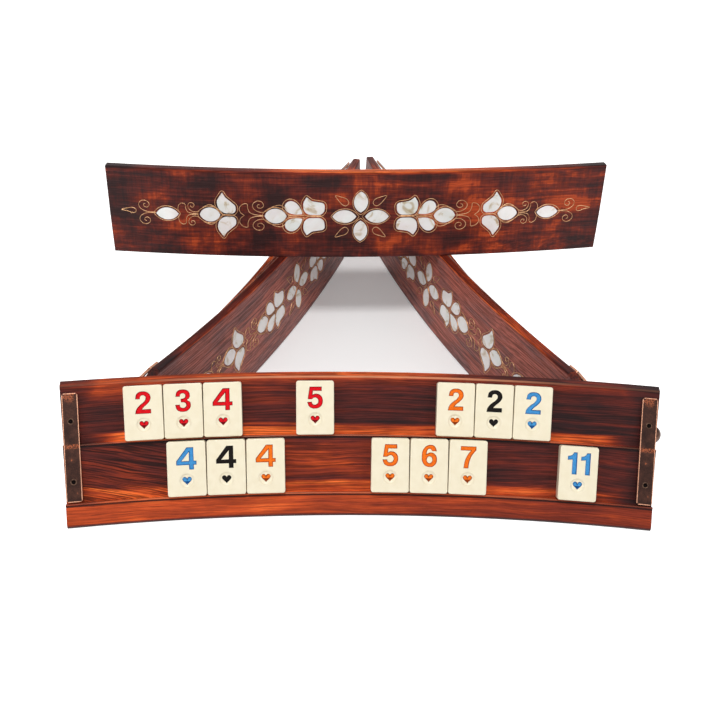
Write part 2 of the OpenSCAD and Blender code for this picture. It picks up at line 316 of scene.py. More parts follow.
def rubbed_highlit_and_shaded(tree, colour, at, corner_highlight):
    """Paints each nosing's edge pale, partly rubbed wear and partly a painted highlight, a painted
    highlight along the top's front corner, and a painted shadow below each nosing.
    """
    for ledge in (RAIL_W, MID_W):
        # Pale lip: partly rubbed wear, partly a painted highlight where the rounded nosing catches light.
        lip = overlap(
            tree,
            add(tree, RANGE, at.up, ledge - 0.9, ledge - 0.6, **SMOOTH),
            add(tree, RANGE, at.up, ledge + 0.3, ledge, **SMOOTH),
            add(tree, RANGE, at.below, 0.8, 0.4, **SMOOTH),
            add(tree, RANGE, at.from_middle, 150, 110, 0.2, 0.6, **SMOOTH))
        colour = add(tree, MIX, lip, colour, linear("#a8664a"), data_type="RGBA")
        under = ledge - NOSE_T
        # A painted shadow: a near black line below each nosing, where the nosing shades the face under it.
        shade_under_nosing = overlap(
            tree,
            add(tree, RANGE, at.up, under - 1.3, under - 0.6, **SMOOTH),
            add(tree, RANGE, at.up, under + 0.4, under, **SMOOTH), at.front, 0.9)
        colour = add(tree, MIX, shade_under_nosing, colour, linear("#140a0b"), data_type="RGBA")
    # A painted highlight along the top's front corner, strongest towards the rack's middle.
    beside = add(tree, MATH, add(tree, MATH, at.out, TOP_W - 0.3, operation="ADD"), operation="ABSOLUTE")
    corner = overlap(
        tree,
        add(tree, RANGE, beside, 0.9, 0.4, **SMOOTH),
        add(tree, RANGE, at.z, RACK_H - 1.2, RACK_H - 0.7, **SMOOTH),
        add(tree, RANGE, at.along, 150, 60, 0.12, corner_highlight, **SMOOTH),
        add(tree, RANGE, at.along, -170, -60, 0.12, 1, **SMOOTH))
    return add(tree, MIX, corner, colour, linear("#cf8a66"), data_type="RGBA")


def burnt_wood(rack, seed, lighter, figured, painted_sheen):
    """Ash, scorched with a torch and lacquered red brown: dark clouds, fine dark lines and open pores
    along the bow, a bright unburnt strip above each ledge, and a curly figure on the back."""
    m, tree = new_finish(f"burnt lacquered ash, {rack} rack")
    at = rack_places(tree, rack)
    grain = wood_patterns(tree, at, seed)
    burnt = how_burnt(tree, at, grain, rack, lighter, figured)
    # A painted sheen: the back's colour is mixed towards pale pink grey, standing in for the lacquer's
    # reflection of the bright room.
    colour = add(
        tree, MIX, overlap(tree, at.back, painted_sheen), add(tree, RAMP, burnt, stops=BURN_COLOURS),
        linear("#b79593"), data_type="RGBA")
    # The rail's lines are fainter than the tiers', and the slanting ones are the darkest.
    faintest = total(
        tree, add(tree, RANGE, at.up, RAIL_W - 1, RAIL_W + 1, 0.72, 0.5, **SMOOTH),
        overlap(tree, at.slanting, -0.26))
    dark_lines = overlap(
        tree,
        add(tree, RANGE, grain.lines, 0.42, 0.56, faintest, 1.1, **SMOOTH),
        add(tree, RANGE, grain.pores, 0.36, 0.5, 0.66, 1.05, **SMOOTH))
    least = overlap(tree, at.back, 0.36 + 0.4 * figured)
    dark_lines = add(tree, MATH, dark_lines, least, operation="MAXIMUM")
    colour = add(tree, MIX, 1.0, colour, dark_lines, data_type="RGBA", blend_type="MULTIPLY")
    relief = total(tree, grain.pores, overlap(tree, grain.lines, 0.6))
    surface(
        tree,
        Base_Color=rubbed_highlit_and_shaded(tree, colour, at, TOP_EDGE[rack][3]),
        Roughness=add(tree, RANGE, grain.pores, 0.35, 0.6, 0.55, 0.36, **SMOOTH),
        Specular_IOR_Level=0.12, Coat_Weight=0.03, Coat_Roughness=0.2,
        Normal=add(tree, BUMP, Height=relief, Distance=0.12 * MM, Strength=0.6))
    return m


# Widths of the other finishes' patterns in millimetres.
PEARL_BANDS, PEARL_SHEEN = 11.765, 20.0
COPPER_CLOUDS, COPPER_SPECKS = 5.263, 0.7692
MELAMINE_CLOUDS, PAINT_CLOUDS = 5.0, 0.8333


def pearl():
    """Mother of pearl, sawn thin and polished: white with beige and grey bands and a faint green and
    pink sheen."""
    m, tree = new_finish("mother of pearl")
    at = millimetres(tree)
    bands = add(tree, NOISE, at, 1 / PEARL_BANDS, 3, 0.5, Distortion=1.2)
    sheen = add(tree, NOISE, at, 1 / PEARL_SHEEN, 2)
    colour = add(tree, RAMP, bands, stops=(
        (0.28, "#c3a985"), (0.37, "#e2d8c6"), (0.43, "#f7f5f1"), (0.6, "#fbfbfa")))
    tint = add(tree, RAMP, sheen, stops=((0.35, "#f3f8f6"), (0.5, "#ffffff"), (0.65, "#faf5f6")))
    surface(
        tree,
        Base_Color=add(tree, MIX, 0.8, colour, tint, data_type="RGBA", blend_type="MULTIPLY"),
        IOR=1.65, Roughness=0.16, Coat_Weight=0.6, Coat_Roughness=0.05,
        Normal=add(tree, BUMP, Height=bands, Distance=0.05 * MM, Strength=0.4))
    return m


def worn_copper(name, matrix):
    """Copper bar, browned and worn by hands: dark patina, bright in rubbed spots, and bright along its
    edges, partly from wear and partly as a painted highlight.
    """
    m, tree = new_finish(name)
    at = millimetres(tree, matrix)
    x, y, _ = add(tree, SPLIT, at).node.outputs
    from_side = add(tree, MATH, STRAP_W / 2, add(tree, MATH, x, operation="ABSOLUTE"), operation="SUBTRACT")
    from_end = add(tree, MATH, y, add(tree, MATH, STRAP_L, y, operation="SUBTRACT"), operation="MINIMUM")
    from_edge = add(tree, MATH, from_side, from_end, operation="MINIMUM")
    cloud = add(tree, NOISE, at, 1 / COPPER_CLOUDS, 4, 0.6)
    speck = add(tree, NOISE, at, 1 / COPPER_SPECKS, 3, 0.6)
    ragged = add(tree, MATH, speck, 0.9, from_edge, operation="MULTIPLY_ADD")
    # The bar is rubbed where it crosses the middle ledge, towards its top, and in a few small spots.
    from_ledge = add(tree, MATH, y, MID_W - STRAP_LOW - 1, operation="SUBTRACT")
    over_ledge = overlap(
        tree,
        add(tree, RANGE, add(tree, MATH, from_ledge, operation="ABSOLUTE"), 1.8, 0.6, **SMOOTH),
        add(tree, RANGE, speck, 0.46, 0.56, 0, 0.85, **SMOOTH))
    top = overlap(
        tree,
        add(tree, RANGE, y, STRAP_L - 7, STRAP_L - 3, **SMOOTH),
        add(tree, RANGE, cloud, 0.45, 0.6, **SMOOTH),
        add(tree, RANGE, speck, 0.42, 0.6, 0, 0.7, **SMOOTH))
    spots = add(tree, RANGE, cloud, 0.66, 0.74, 0, 0.6, **SMOOTH)
    rubbed = add(tree, MATH, over_ledge, top, operation="MAXIMUM")
    rubbed = add(tree, MATH, rubbed, spots, operation="MAXIMUM")
    colour = add(tree, RAMP, total(tree, cloud, swings(tree, (speck, 0.5))), stops=(
        (0.3, "#251613"), (0.5, "#35211b"), (0.7, "#472c23")))
    colour = add(tree, MIX, rubbed, colour, linear("#a85a38"), data_type="RGBA")
    # Pale edges: partly worn copper, partly a painted highlight of the edges catching light.
    edge = add(tree, RANGE, ragged, 1.0, 0.65, **SMOOTH)
    surface(
        tree,
        Base_Color=add(tree, MIX, edge, colour, linear("#d0997c"), data_type="RGBA"), Metallic=0.85,
        Roughness=add(tree, RANGE, speck, 0.3, 0.7, 0.5, 0.34, **SMOOTH),
        Normal=add(tree, BUMP, Height=speck, Distance=0.05 * MM, Strength=0.5))
    return m


def plain_metal(name, dark, light, roughness, size):
    """Metal for the small parts, its colour mottled in patches of that size in millimetres."""
    m, tree = new_finish(name)
    mottle = add(tree, NOISE, millimetres(tree), 1 / size, 3)
    surface(
        tree, Base_Color=add(tree, RAMP, mottle, stops=((0.35, dark), (0.65, light))), Metallic=1.0,
        Roughness=roughness)
    return m


def melamine():
    """Melamine, moulded and polished: warm cream, satin, with a very faint cloudiness."""
    m, tree = new_finish("cream melamine")
    mottle = add(tree, NOISE, millimetres(tree), 1 / MELAMINE_CLOUDS, 3)
    surface(
        tree, Base_Color=add(tree, RAMP, mottle, stops=((0.35, "#e9dec2"), (0.65, "#ede3c9"))),
        Roughness=0.3, Coat_Weight=0.15, Coat_Roughness=0.1)
    return m


def paint(name, colour):
    """Lacquer, brushed into a tile's engraving and wiped off its face: satin, and a little uneven."""
    m, tree = new_finish(name)
    mottle = add(tree, NOISE, millimetres(tree), 1 / PAINT_CLOUDS, 3)
    thick = linear(colour)
    thin = tuple(0.82 * c for c in thick[:3]) + (1.0,)
    uneven = add(tree, RANGE, mottle, 0.35, 0.6, **SMOOTH)
    surface(
        tree, Base_Color=add(tree, MIX, uneven, thin, thick, data_type="RGBA"), Roughness=0.42,
        Specular_IOR_Level=0.1)
    return m


# Each rack's wood: its seed, how much less it is burnt, how figured its back is, and how much painted sheen
# lies on that.
WOODS = {rack: burnt_wood(rack, *look) for rack, look in (
    ("front", (3.1, 0.03, 0.5, 0.05)), ("left", (7.4, 0.26, 0, 0.36)), ("right", (11.9, 0.3, 0, 0.31)),
    ("far", (5.6, 0.0, 1, 0.03)))}
PEARL = pearl()
# Brass, drawn to wire: a fine warm line that outlines every petal.
WIRE = plain_metal("fine brass wire", "#b0825c", "#dcb086", 0.45, 3.0)
# Steel, turned and browned: a rim round a recess painted near black as its shade, so each screw reads as a
# dark point.
SCREW = plain_metal("browned steel screw", "#3a2a23", "#5c463a", 0.42, 1.0)
RECESS = plain_metal("screw recess with painted shade", "#0c0a0a", "#1c1716", 0.6, 1.0)
# Bronze, turned and polished: dark, with a hard highlight on the stud's dome.
STUD = plain_metal("dark bronze stud", "#3f2c26", "#6a5044", 0.2, 2.5)
MELAMINE = melamine()
# Lacquer: a flat coat on each engraving's floor, and on its walls a darker coat that is painted shade of
# the engraving.
PAINTS = {
    name: (paint(f"{name} lacquer in an engraving", floor), paint(f"{name} painted shade on its walls", wall))
    for name, floor, wall in (
        ("red", "#e0111f", "#70060f"), ("orange", "#f3761f", "#8c3a0a"),
        ("black", "#15100e", "#0b0808"), ("blue", "#4796d2", "#185088"))}


def dress(o, *materials):
    """Gives the object these materials and no others."""
    o.data.materials.clear()
    for m in materials:
        o.data.materials.append(m)


def new_object(name, mesh, *materials):
    """A new object in the scene."""
    o = bpy.data.objects.new(name, mesh)
    bpy.context.scene.collection.objects.link(o)
    dress(o, *materials)
    return o


def evaluated(o):
    """The object's mesh with its modifiers done."""
    return bpy.data.meshes.new_from_object(o.evaluated_get(bpy.context.evaluated_depsgraph_get()))


def stack(name, rings):
    """A closed solid from rings of equal length, its first and last ring capped."""
    count = len(rings[0])
    faces = []
    for k in range(len(rings) - 1):
        low, high = k * count, (k + 1) * count
        for i in range(count):
            after = (i + 1) % count
            faces.append((low + i, low + after, high + after, high + i))
    faces.append(tuple(range(count))[::-1])
    faces.append(tuple(range((len(rings) - 1) * count, len(rings) * count)))
    mesh = bpy.data.meshes.new(name)
    mesh.from_pydata([p for one in rings for p in one], [], faces)
    return mesh


# Finishes of the racks' own pieces.

def finish_strap(rack, side, end):
    """Browned copper, with the bar's edges broken."""
    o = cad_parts[f"{rack}_strap_{side}"]
    at = place(rack) @ along_bow(end * STRAP_S) @ on_slope(STRAP_LOW)
    dress(o, worn_copper(f"browned copper strap, {rack} rack {side}", at))
    soft = o.modifiers.new("soft edges", "BEVEL")
    soft.width = 0.3 * MM
    soft.segments = 2
    soft.limit_method = "ANGLE"
    soft.angle_limit = math.radians(40)


for rack in RACKS:
    dress(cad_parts[f"{rack}_rack_wood"], WOODS[rack])
    dress(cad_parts[f"{rack}_pearl_inlay"], PEARL)
    dress(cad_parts[f"{rack}_end_stud"], STUD)
    finish_strap(rack, "left", -1)
    finish_strap(rack, "right", 1)


# Screws.

# Half the outline of a screw, from the middle of its recess over the head to its point.
SCREW_PROFILE = [
    (0, -1.1), (0.5, -1.05), (1.2, -0.2), (1.32, -0.04), (1.42, 0.02), (1.85, 0.02), (2.02, -0.04),
    (2.08, -0.16), (1.1, -1.3), (1.1, -11), (0.2, -13), (0, -13)]
SCREW_SIDES = 28
# The recess is the cap and this many bands round it.
RECESS_BANDS = 2


def turn_screw(spot, verts, faces, recess):
    """Adds one screw, turned from the profile about the spot's Z, to the lists of a mesh."""
    first = len(verts)
    bands = len(SCREW_PROFILE) - 3
    for radius, z in SCREW_PROFILE[1:-1]:
        for k in range(SCREW_SIDES):
            angle = 2 * math.pi * k / SCREW_SIDES
            verts.append(spot @ Vector((radius * math.cos(angle), radius * math.sin(angle), z)))
    top, point = len(verts), len(verts) + 1
    verts += [spot @ Vector((0, 0, SCREW_PROFILE[0][1])), spot @ Vector((0, 0, SCREW_PROFILE[-1][1]))]
    last = first + bands * SCREW_SIDES
    for k in range(SCREW_SIDES):
        n = (k + 1) % SCREW_SIDES
        faces += [(top, first + k, first + n), (point, last + n, last + k)]
        recess += [1, 0]
        for band in range(bands):
            a, b = first + band * SCREW_SIDES, first + (band + 1) * SCREW_SIDES
            faces.append((a + k, b + k, b + n, a + n))
            recess.append(1 if band < RECESS_BANDS else 0)


def build_screws(rack):
    """The rack's four screws."""
    verts, faces, recess = [], [], []
    for end in (-1, 1):
        for y in SCREW_YS:
            spot = place(rack) @ along_bow(end * STRAP_S) @ on_slope(STRAP_LOW + y, -STRAP_T)
            turn_screw(spot, verts, faces, recess)
    mesh = bpy.data.meshes.new(f"{rack} screws")
    mesh.from_pydata(verts, [], faces)
    o = new_object(f"{rack}_recessed_screws", mesh, SCREW, RECESS)
    mesh.polygons.foreach_set("material_index", recess)
    mesh.polygons.foreach_set("use_smooth", [True] * len(faces))
    mesh.set_sharp_from_angle(angle=math.radians(50))
    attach(o, f"{rack}_rack")
    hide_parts(f"{rack}_strap_screws")


for rack in RACKS:
    build_screws(rack)


# Brass wire of the inlay.

def smooth(points, closed=False, steps=7):
    """A curve through the points."""
    n = len(points)
    found = []
    for i in range(n if closed else n - 1):
        four = [points[(i + k) % n] if closed else points[min(max(i + k, 0), n - 1)] for k in (-1, 0, 1, 2)]
        for j in range(steps):
            t = j / steps
            found.append(tuple(
                0.5 * (2 * b + (c - a) * t + (2 * a - 5 * b + 4 * c - e) * t * t
                       + (3 * b - a - 3 * c + e) * t ** 3)
                for a, b, c, e in zip(*four)))
    return found if closed else found + [tuple(points[-1])]


def leaf(length, width, n=14):
    """Outline of a pointed leaf of two arcs, its length along X."""
    r = (length * length + width * width) / (4 * width)
    half = math.asin(length / 2 / r)
    side = []
    for i in range(n):
        angle = half * (2 * i / n - 1)
        side.append((r * math.sin(angle), r * math.cos(angle) + width / 2 - r))
    return side + [(-x, -y) for x, y in side]


def drop(length, width, blunt=0.82, n=44):
    """Outline of a drop with its point on +X."""
    peak = max(math.sin(math.pi * i / n) * math.sin(math.pi * i / 2 / n) ** blunt for i in range(1, n))
    found = []
    for i in range(n):
        t = 2 * math.pi * i / n
        side = 1 if t < math.pi else -1
        wide = abs(math.sin(t)) * math.sin(t / 2 if t < math.pi else math.pi - t / 2) ** blunt
        found.append((length / 2 * math.cos(t), side * width / 2 * wide / peak))
    return found


def rounded(corners, n=7):
    """Outline of corners given as x, y and radius."""
    found = []
    for i, (x, y, r) in enumerate(corners):
        b = Vector((x, y))
        u, v = ((Vector(corners[(i + k) % len(corners)][:2]) - b).normalized() for k in (-1, 1))
        half = u.angle(v) / 2
        o = b + (u + v).normalized() * r / math.sin(half)
        p, q = b + u * r / math.tan(half) - o, b + v * r / math.tan(half) - o
        start = math.atan2(p.y, p.x)
        turn = (math.atan2(q.y, q.x) - start + 3 * math.pi) % (2 * math.pi) - math.pi
        for k in range(n + 1):
            angle = start + turn * k / n
            found.append(tuple(o + r * Vector((math.cos(angle), math.sin(angle)))))
    return found


def grown(points, by):
    """An outline moved outwards by that much."""
    n = len(points)
    found = []
    for i in range(n):
        a, b, c = (Vector(points[(i + k) % n]) for k in (-1, 0, 1))
        along = c - a
        out = Vector((along.y, -along.x)).normalized() * by
        found.append((b.x + out.x, b.y + out.y))
    return found


def set_at(points, s, v, turn=0.0, up=1):
    """Turns an outline, mirrors it when up is -1, and moves it to s, v."""
    c, k = math.cos(math.radians(turn)), math.sin(math.radians(turn))
    return [(s + c * x - k * y, v + up * (k * x + c * y)) for x, y in points]


WIRE_R, WIRE_SIDES = 0.26, 8
# The wires lie this far outside the petals' edges, and this far proud of the back.
WIRE_OUT, WIRE_PROUD = 1.35, 0.02
# The curled petals' corners, about each petal's middle.
WIDE_PETAL = [(-8.7, 3.4, 3), (-8.1, -6.2, 5), (7.2, -6.1, 6), (8.5, 3.3, 8), (5.4, 8.2, 0.3), (1.4, 5, 6)]
TALL_PETAL = [
    (-7.4, -0.6, 3), (-7.7, -6.8, 3.4), (4.4, -7.2, 7.5), (7.5, 2.5, 7), (2.4, 9.9, 0.3), (0.2, 6, 5)]
END_DROP = [
    (180.9, 1.2), (176, 2.6), (172.4, 3.2), (170, 2.0), (170, -0.1), (172.3, -1.1), (176, 0.1)]
MIDDLE_DROP = [(19.3, 16.7), (15, 15.8), (10.8, 14.1), (9.2, 11), (11.3, 8.7), (14.2, 9.8), (16.9, 12.9)]
# Open lines above the middle line of one half, in their order outwards: a scroll beside the round leaf, a
# bracket, a small scroll beyond the pair of petals, a lobe with its stem, and the scroll at the end.
SCROLLS = [
    [(57.2, 6.4), (60.4, 8.7), (65.4, 7.9), (69.4, 5.2), (73.5, 2.9), (77.8, 3.4), (81.1, 6.1),
     (81.2, 9.4), (78.2, 11.7), (74.7, 11.3), (73.2, 8.3), (75.1, 6.2), (77.6, 6.6), (77.9, 8.5),
     (76.4, 9.0)],
    [(87.9, 0), (90.8, 2.4), (91.5, 5.9), (89, 8.9), (85.6, 9.3), (85.2, 5.7), (83.4, 2.2), (78.6, 0.6),
     (73.6, 0.4)],
    [(108.6, 4.4), (110.6, 6.9), (113.9, 7.9), (117.4, 6.6), (120.8, 3.9), (123.6, 1.9), (126.8, 2.0),
     (129.4, 4.0), (130.2, 6.6), (129.0, 8.7), (126.9, 9.0), (125.4, 7.5), (126.2, 5.6), (128.0, 5.8),
     (127.9, 7.0)],
    [(136.2, 0), (137.7, 3.2), (137.0, 6.8), (134.4, 8.6), (132.1, 7.3), (131.9, 4.5), (130.6, 1.6),
     (127.6, 0.5), (122.6, 0.4)],
    [(154.8, 0.1), (158.5, 0.3), (163.0, 1.0), (166.6, 3.4), (167.3, 6.6), (165.2, 9.1), (162.2, 9.4),
     (159.7, 7.7), (159.6, 5.4), (161.4, 4.0), (163.3, 4.7), (163.6, 6.4), (162.3, 7.0)],
]


def half_wires():
    """The wire lines of one half as (points, closed), s outwards and v up from the middle line."""
    o = WIRE_OUT
    lines = [
        (set_at(leaf(18.4 + 2.2 * o, 10.6 + 1.5 * o), 11.9, 0), True),
        (set_at(leaf(17 + 2.4 * o, 12 + 1.6 * o), 64.6, 0), True),
        (set_at(leaf(15.8 + 2.4 * o, 11.4 + 1.5 * o), 113.9, 0), True),
        (set_at(leaf(17.4 + 2.2 * o, 9.8 + 1.6 * o), 146.2, -0.2), True),
        (smooth(END_DROP, True), True),
        # Two stem lines between the upper and lower petals.
        ([(30, 0.6), (40, 0.6), (54.8, 0.5)], False),
        ([(42.5, -0.8), (54.8, -0.7)], False)]
    for up in (1, -1):
        lines += [
            (set_at(grown(rounded(WIDE_PETAL), o), 35.6, up * 7.3, 0, up), True),
            (set_at(drop(15 + 2.2 * o, 9.9 + 1.9 * o), 50.6, up * 6.1, 212.8, up), True),
            (set_at(grown(rounded(TALL_PETAL), o), 101.6, up * 8.2, 0, up), True),
            (set_at(smooth(MIDDLE_DROP, True), 0, 0, 0, up), True)]
        lines += [(set_at(smooth(scroll), 0, 0, 0, up), False) for scroll in SCROLLS]
    return lines


def wire_tree(radius, sides, material):
    """Makes a round wire along every edge of a mesh. Returns the tree and the values of its inputs."""
    tree = bpy.data.node_groups.new("wire along lines", "GeometryNodeTree")
    face = tree.interface
    face.new_socket("Geometry", in_out="INPUT", socket_type="NodeSocketGeometry")
    size = face.new_socket("Wire Radius", in_out="INPUT", socket_type="NodeSocketFloat")
    count = face.new_socket("Sides", in_out="INPUT", socket_type="NodeSocketInt")
    face.new_socket("Geometry", in_out="OUTPUT", socket_type="NodeSocketGeometry")
    given = add(tree, "NodeGroupInput").node.outputs
    lines = add(tree, "GeometryNodeMeshToCurve", given["Geometry"])
    ring = add(tree, "GeometryNodeCurvePrimitiveCircle", given["Sides"], given["Wire Radius"])
    tube = add(tree, "GeometryNodeCurveToMesh", lines, ring, Fill_Caps=True)
    whole = add(tree, "GeometryNodeRealizeInstances", tube)
    add(tree, "NodeGroupOutput", add(tree, "GeometryNodeSetMaterial", whole, Material=material))
    return tree, {size.identifier: radius, count.identifier: sides}


def build_wires():
    """One object of wire per rack, lying on its bowed and leaning back."""
    tree, sizes = wire_tree(WIRE_R * MM, WIRE_SIDES, WIRE)
    lines = half_wires()
    lines += [([(-s, v) for s, v in reversed(points)], closed) for points, closed in lines]
    lines += [(set_at(leaf(19.8, 12.4), 0, up * 11.4, 90), True) for up in (1, -1)]
    for rack in RACKS:
        to_scene = place(rack)
        verts, edges = [], []
        for points, closed in lines:
            first = len(verts)
            for s, v in points:
                z = INLAY_Z + v
                r = BOW_R + BACK_RUN * (1 - z / RACK_H) + WIRE_PROUD
                angle = s / BOW_R
                verts.append(to_scene @ Vector((r * math.sin(angle), r * math.cos(angle) - BOW_R, z)))
            count = len(points)
            edges += [(first + i, first + (i + 1) % count) for i in range(count if closed else count - 1)]
        mesh = bpy.data.meshes.new(f"{rack} wire lines")
        mesh.from_pydata(verts, edges, [])
        o = new_object(f"{rack}_brass_wire", mesh)
        grow = o.modifiers.new("wire", "NODES")
        grow.node_group = tree
        for key, value in sizes.items():
            grow[key] = value
        done = evaluated(o)
        o.modifiers.clear()
        o.data = done
        done.polygons.foreach_set("use_smooth", [True] * len(done.polygons))
        dress(o, WIRE)
        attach(o, f"{rack}_rack")


build_wires()


# Tiles.

# Outlines of the bold figures, 13.4 mm high, each after its width. A is a smooth point and V a corner.
A, V = "AUTO", "VECTOR"
FIGURES = {
    "1": (5.5, [[
        (5.5, 13.4, V), (3.5, 13.4, V), (2.5, 11.8, A), (0, 10.9, V), (0, 8.9, V), (2.9, 9.2, V),
        (2.9, 0, V), (5.5, 0, V)]]),
    "2": (9.4, [[
        (0.35, 9.1, V), (1.4, 12.3, A), (4.8, 13.5, A), (8.1, 12.4, A), (9.3, 9.7, A), (8.7, 7.6, A),
        (6.9, 5.6, A), (5.0, 4.0, A), (3.7, 2.35, V), (9.3, 2.35, V), (9.3, 0, V), (0.05, 0, V),
        (0.7, 2.5, A), (2.9, 5.1, A), (5.5, 7.2, A), (6.7, 9.5, A), (6.2, 10.8, A), (4.75, 11.4, A),
        (3.3, 10.8, A), (2.8, 9.1, V)]]),
    "3": (9.4, [[
        (0.45, 9.5, V), (1.5, 12.5, A), (4.6, 13.5, A), (7.8, 12.6, A), (8.9, 10.2, A), (8.4, 8.2, A),
        (7.3, 7.35, A), (7.3, 6.85, A), (8.7, 6.0, A), (9.35, 4.0, A), (8.0, 1.1, A), (4.6, 0, A),
        (1.3, 1.1, A), (0.15, 4.1, V), (2.6, 4.1, V), (3.1, 2.6, A), (4.7, 2.05, A), (6.4, 2.7, A),
        (6.9, 4.0, A), (6.2, 5.5, A), (4.6, 5.95, V), (3.6, 5.95, V), (3.6, 7.8, V), (4.6, 7.8, V),
        (6.0, 8.4, A), (6.5, 9.8, A), (6.0, 11.0, A), (4.65, 11.5, A), (3.3, 11.0, A), (2.8, 9.5, V)]]),
    "4": (12.0, [
        [(7.8, 0, V), (10.3, 0, V), (10.3, 2.9, V), (12, 2.9, V), (12, 5.0, V), (10.3, 5.0, V),
         (10.3, 13.4, V), (6.4, 13.4, V), (0, 5.1, V), (0, 2.9, V), (7.8, 2.9, V)],
        [(2.7, 5.0, V), (7.8, 5.0, V), (7.8, 11.0, V)]]),
    "5": (9.4, [[
        (1.4, 13.4, V), (8.7, 13.4, V), (8.7, 11.1, V), (3.3, 11.1, V), (2.9, 8.3, V), (5.2, 9.0, A),
        (8.2, 7.8, A), (9.4, 4.6, A), (8.0, 1.2, A), (4.6, 0, A), (1.3, 1.1, A), (0, 3.8, V),
        (2.5, 3.9, V), (3.1, 2.5, A), (4.6, 2.05, A), (6.3, 2.9, A), (6.9, 4.6, A), (6.2, 6.3, A),
        (4.6, 6.95, A), (2.6, 5.9, V), (0.3, 5.9, V)]]),
    "6": (9.2, [
        [(8.9, 10.0, V), (7.8, 12.6, A), (4.9, 13.5, A), (1.4, 11.5, A), (0.05, 6.5, A), (1.2, 1.8, A),
         (4.7, 0, A), (8.0, 1.3, A), (9.2, 4.5, A), (8.1, 7.6, A), (5.3, 8.8, A), (2.6, 7.7, V),
         (3.2, 10.5, A), (4.95, 11.5, A), (6.4, 10.0, V)],
        [(4.75, 6.8, A), (6.75, 4.4, A), (4.75, 2.0, A), (2.75, 4.4, A)]]),
    "7": (9.4, [[
        (0, 13.4, V), (9.4, 13.4, V), (9.4, 11.4, V), (6.8, 7.9, A), (5.3, 4.1, A), (4.7, 0, V),
        (2.1, 0, V), (2.7, 4.2, A), (4.3, 8.0, A), (6.5, 11.1, V), (0, 11.1, V)]]),
}
FIGURE_LOW = 16.6
KERN = 2.7
ENGRAVED = 1.0
# The figures are this much bolder than their outlines, and their walls slope in by that much.
BOLDER, SLOPING = 0.2, 0.32
# A cutter stands this far out of the tile's face.
PROUD = 1.0
DIMPLE_Y = 0.28 * TILE_H
# Half the dimple's section, from its middle out over its sloping wall to the face.
DIMPLE = [
    (1.0, -1.3), (2.6, -1.27), (3.35, -1.16), (3.75, -0.92), (4.15, -0.5), (4.5, -0.15), (4.8, 0.0),
    (5.0, 0.08)]
DIMPLE_T, DIMPLE_SIDES = 1.3, 64
HEART_W, HEART_POINTS = 5.8, 48
# The heart's sizes and depths below the dimple's floor, from its deepest point up, as a tapered cutter
# leaves them.
HEART_STEPS = [(0.12, 0.9), (0.45, 0.62), (0.8, 0.3), (1.0, 0)]
# Runs of tiles: the tier, the run's middle along the bow, and each tile's place in the run, its number and
# its colour.
RUNS = [
    ("upper", -113.9, [(-1, "2", "red"), (0, "3", "red"), (1, "4", "red")]),
    ("upper", -30.4, [(0, "5", "red")]),
    ("upper", 84.6, [(-1, "2", "orange"), (0, "2", "black"), (1, "2", "blue")]),
    ("lower", -87.6, [(-1, "4", "blue"), (0, "4", "black"), (1, "4", "orange")]),
    ("lower", 43.5, [(-1, "5", "orange"), (0, "6", "orange"), (1, "7", "orange")]),
    ("lower", 140.1, [(0, "11", "blue")]),
]


def card_mesh(name, steps=6, around=8):
    """A tile with round corners and rounded edges: X across, Y up from its lower edge, Z out."""
    x, top = TILE_W / 2 - TILE_R, TILE_H - TILE_R
    corners = ((x, top, 0), (-x, top, 90), (-x, TILE_R, 180), (x, TILE_R, 270))

    def ring(inset, z):
        found = []
        for corner_x, corner_y, start in corners:
            for i in range(around + 1):
                angle = math.radians(start + 90 * i / around)
                found.append((corner_x + (TILE_R - inset) * math.cos(angle),
                              corner_y + (TILE_R - inset) * math.sin(angle), z))
        return found

    angles = [math.pi / 2 * i / steps for i in range(steps + 1)]
    rings = [ring(TILE_EDGE * (1 - math.sin(a)), TILE_EDGE * (1 - math.cos(a))) for a in angles]
    rings += [ring(TILE_EDGE * (1 - math.cos(a)), TILE_T - TILE_EDGE * (1 - math.sin(a))) for a in angles]
    return stack(name, rings)


def bolder(loop, by):
    """The outline's points moved outwards by that much, each along the middle of its corner."""
    found = []
    for i, (x, y, kind) in enumerate(loop):
        sides = []
        for a, b in ((loop[i - 1], loop[i]), (loop[i], loop[(i + 1) % len(loop)])):
            along = Vector((b[0] - a[0], b[1] - a[1])).normalized()
            sides.append(Vector((along.y, -along.x)))
        move = (sides[0] + sides[1]) / max(1 + sides[0].dot(sides[1]), 0.5) * by
        found.append((x + move.x, y + move.y, kind))
    return found


def clean(mesh, distance, *more):
    """Makes one of points closer than the distance, and does more to the mesh while it is open."""
    bm = bmesh.new()
    bm.from_mesh(mesh)
    bmesh.ops.remove_doubles(bm, verts=bm.verts, dist=distance)
    for work in more:
        work(bm)
    bm.to_mesh(mesh)
    bm.free()


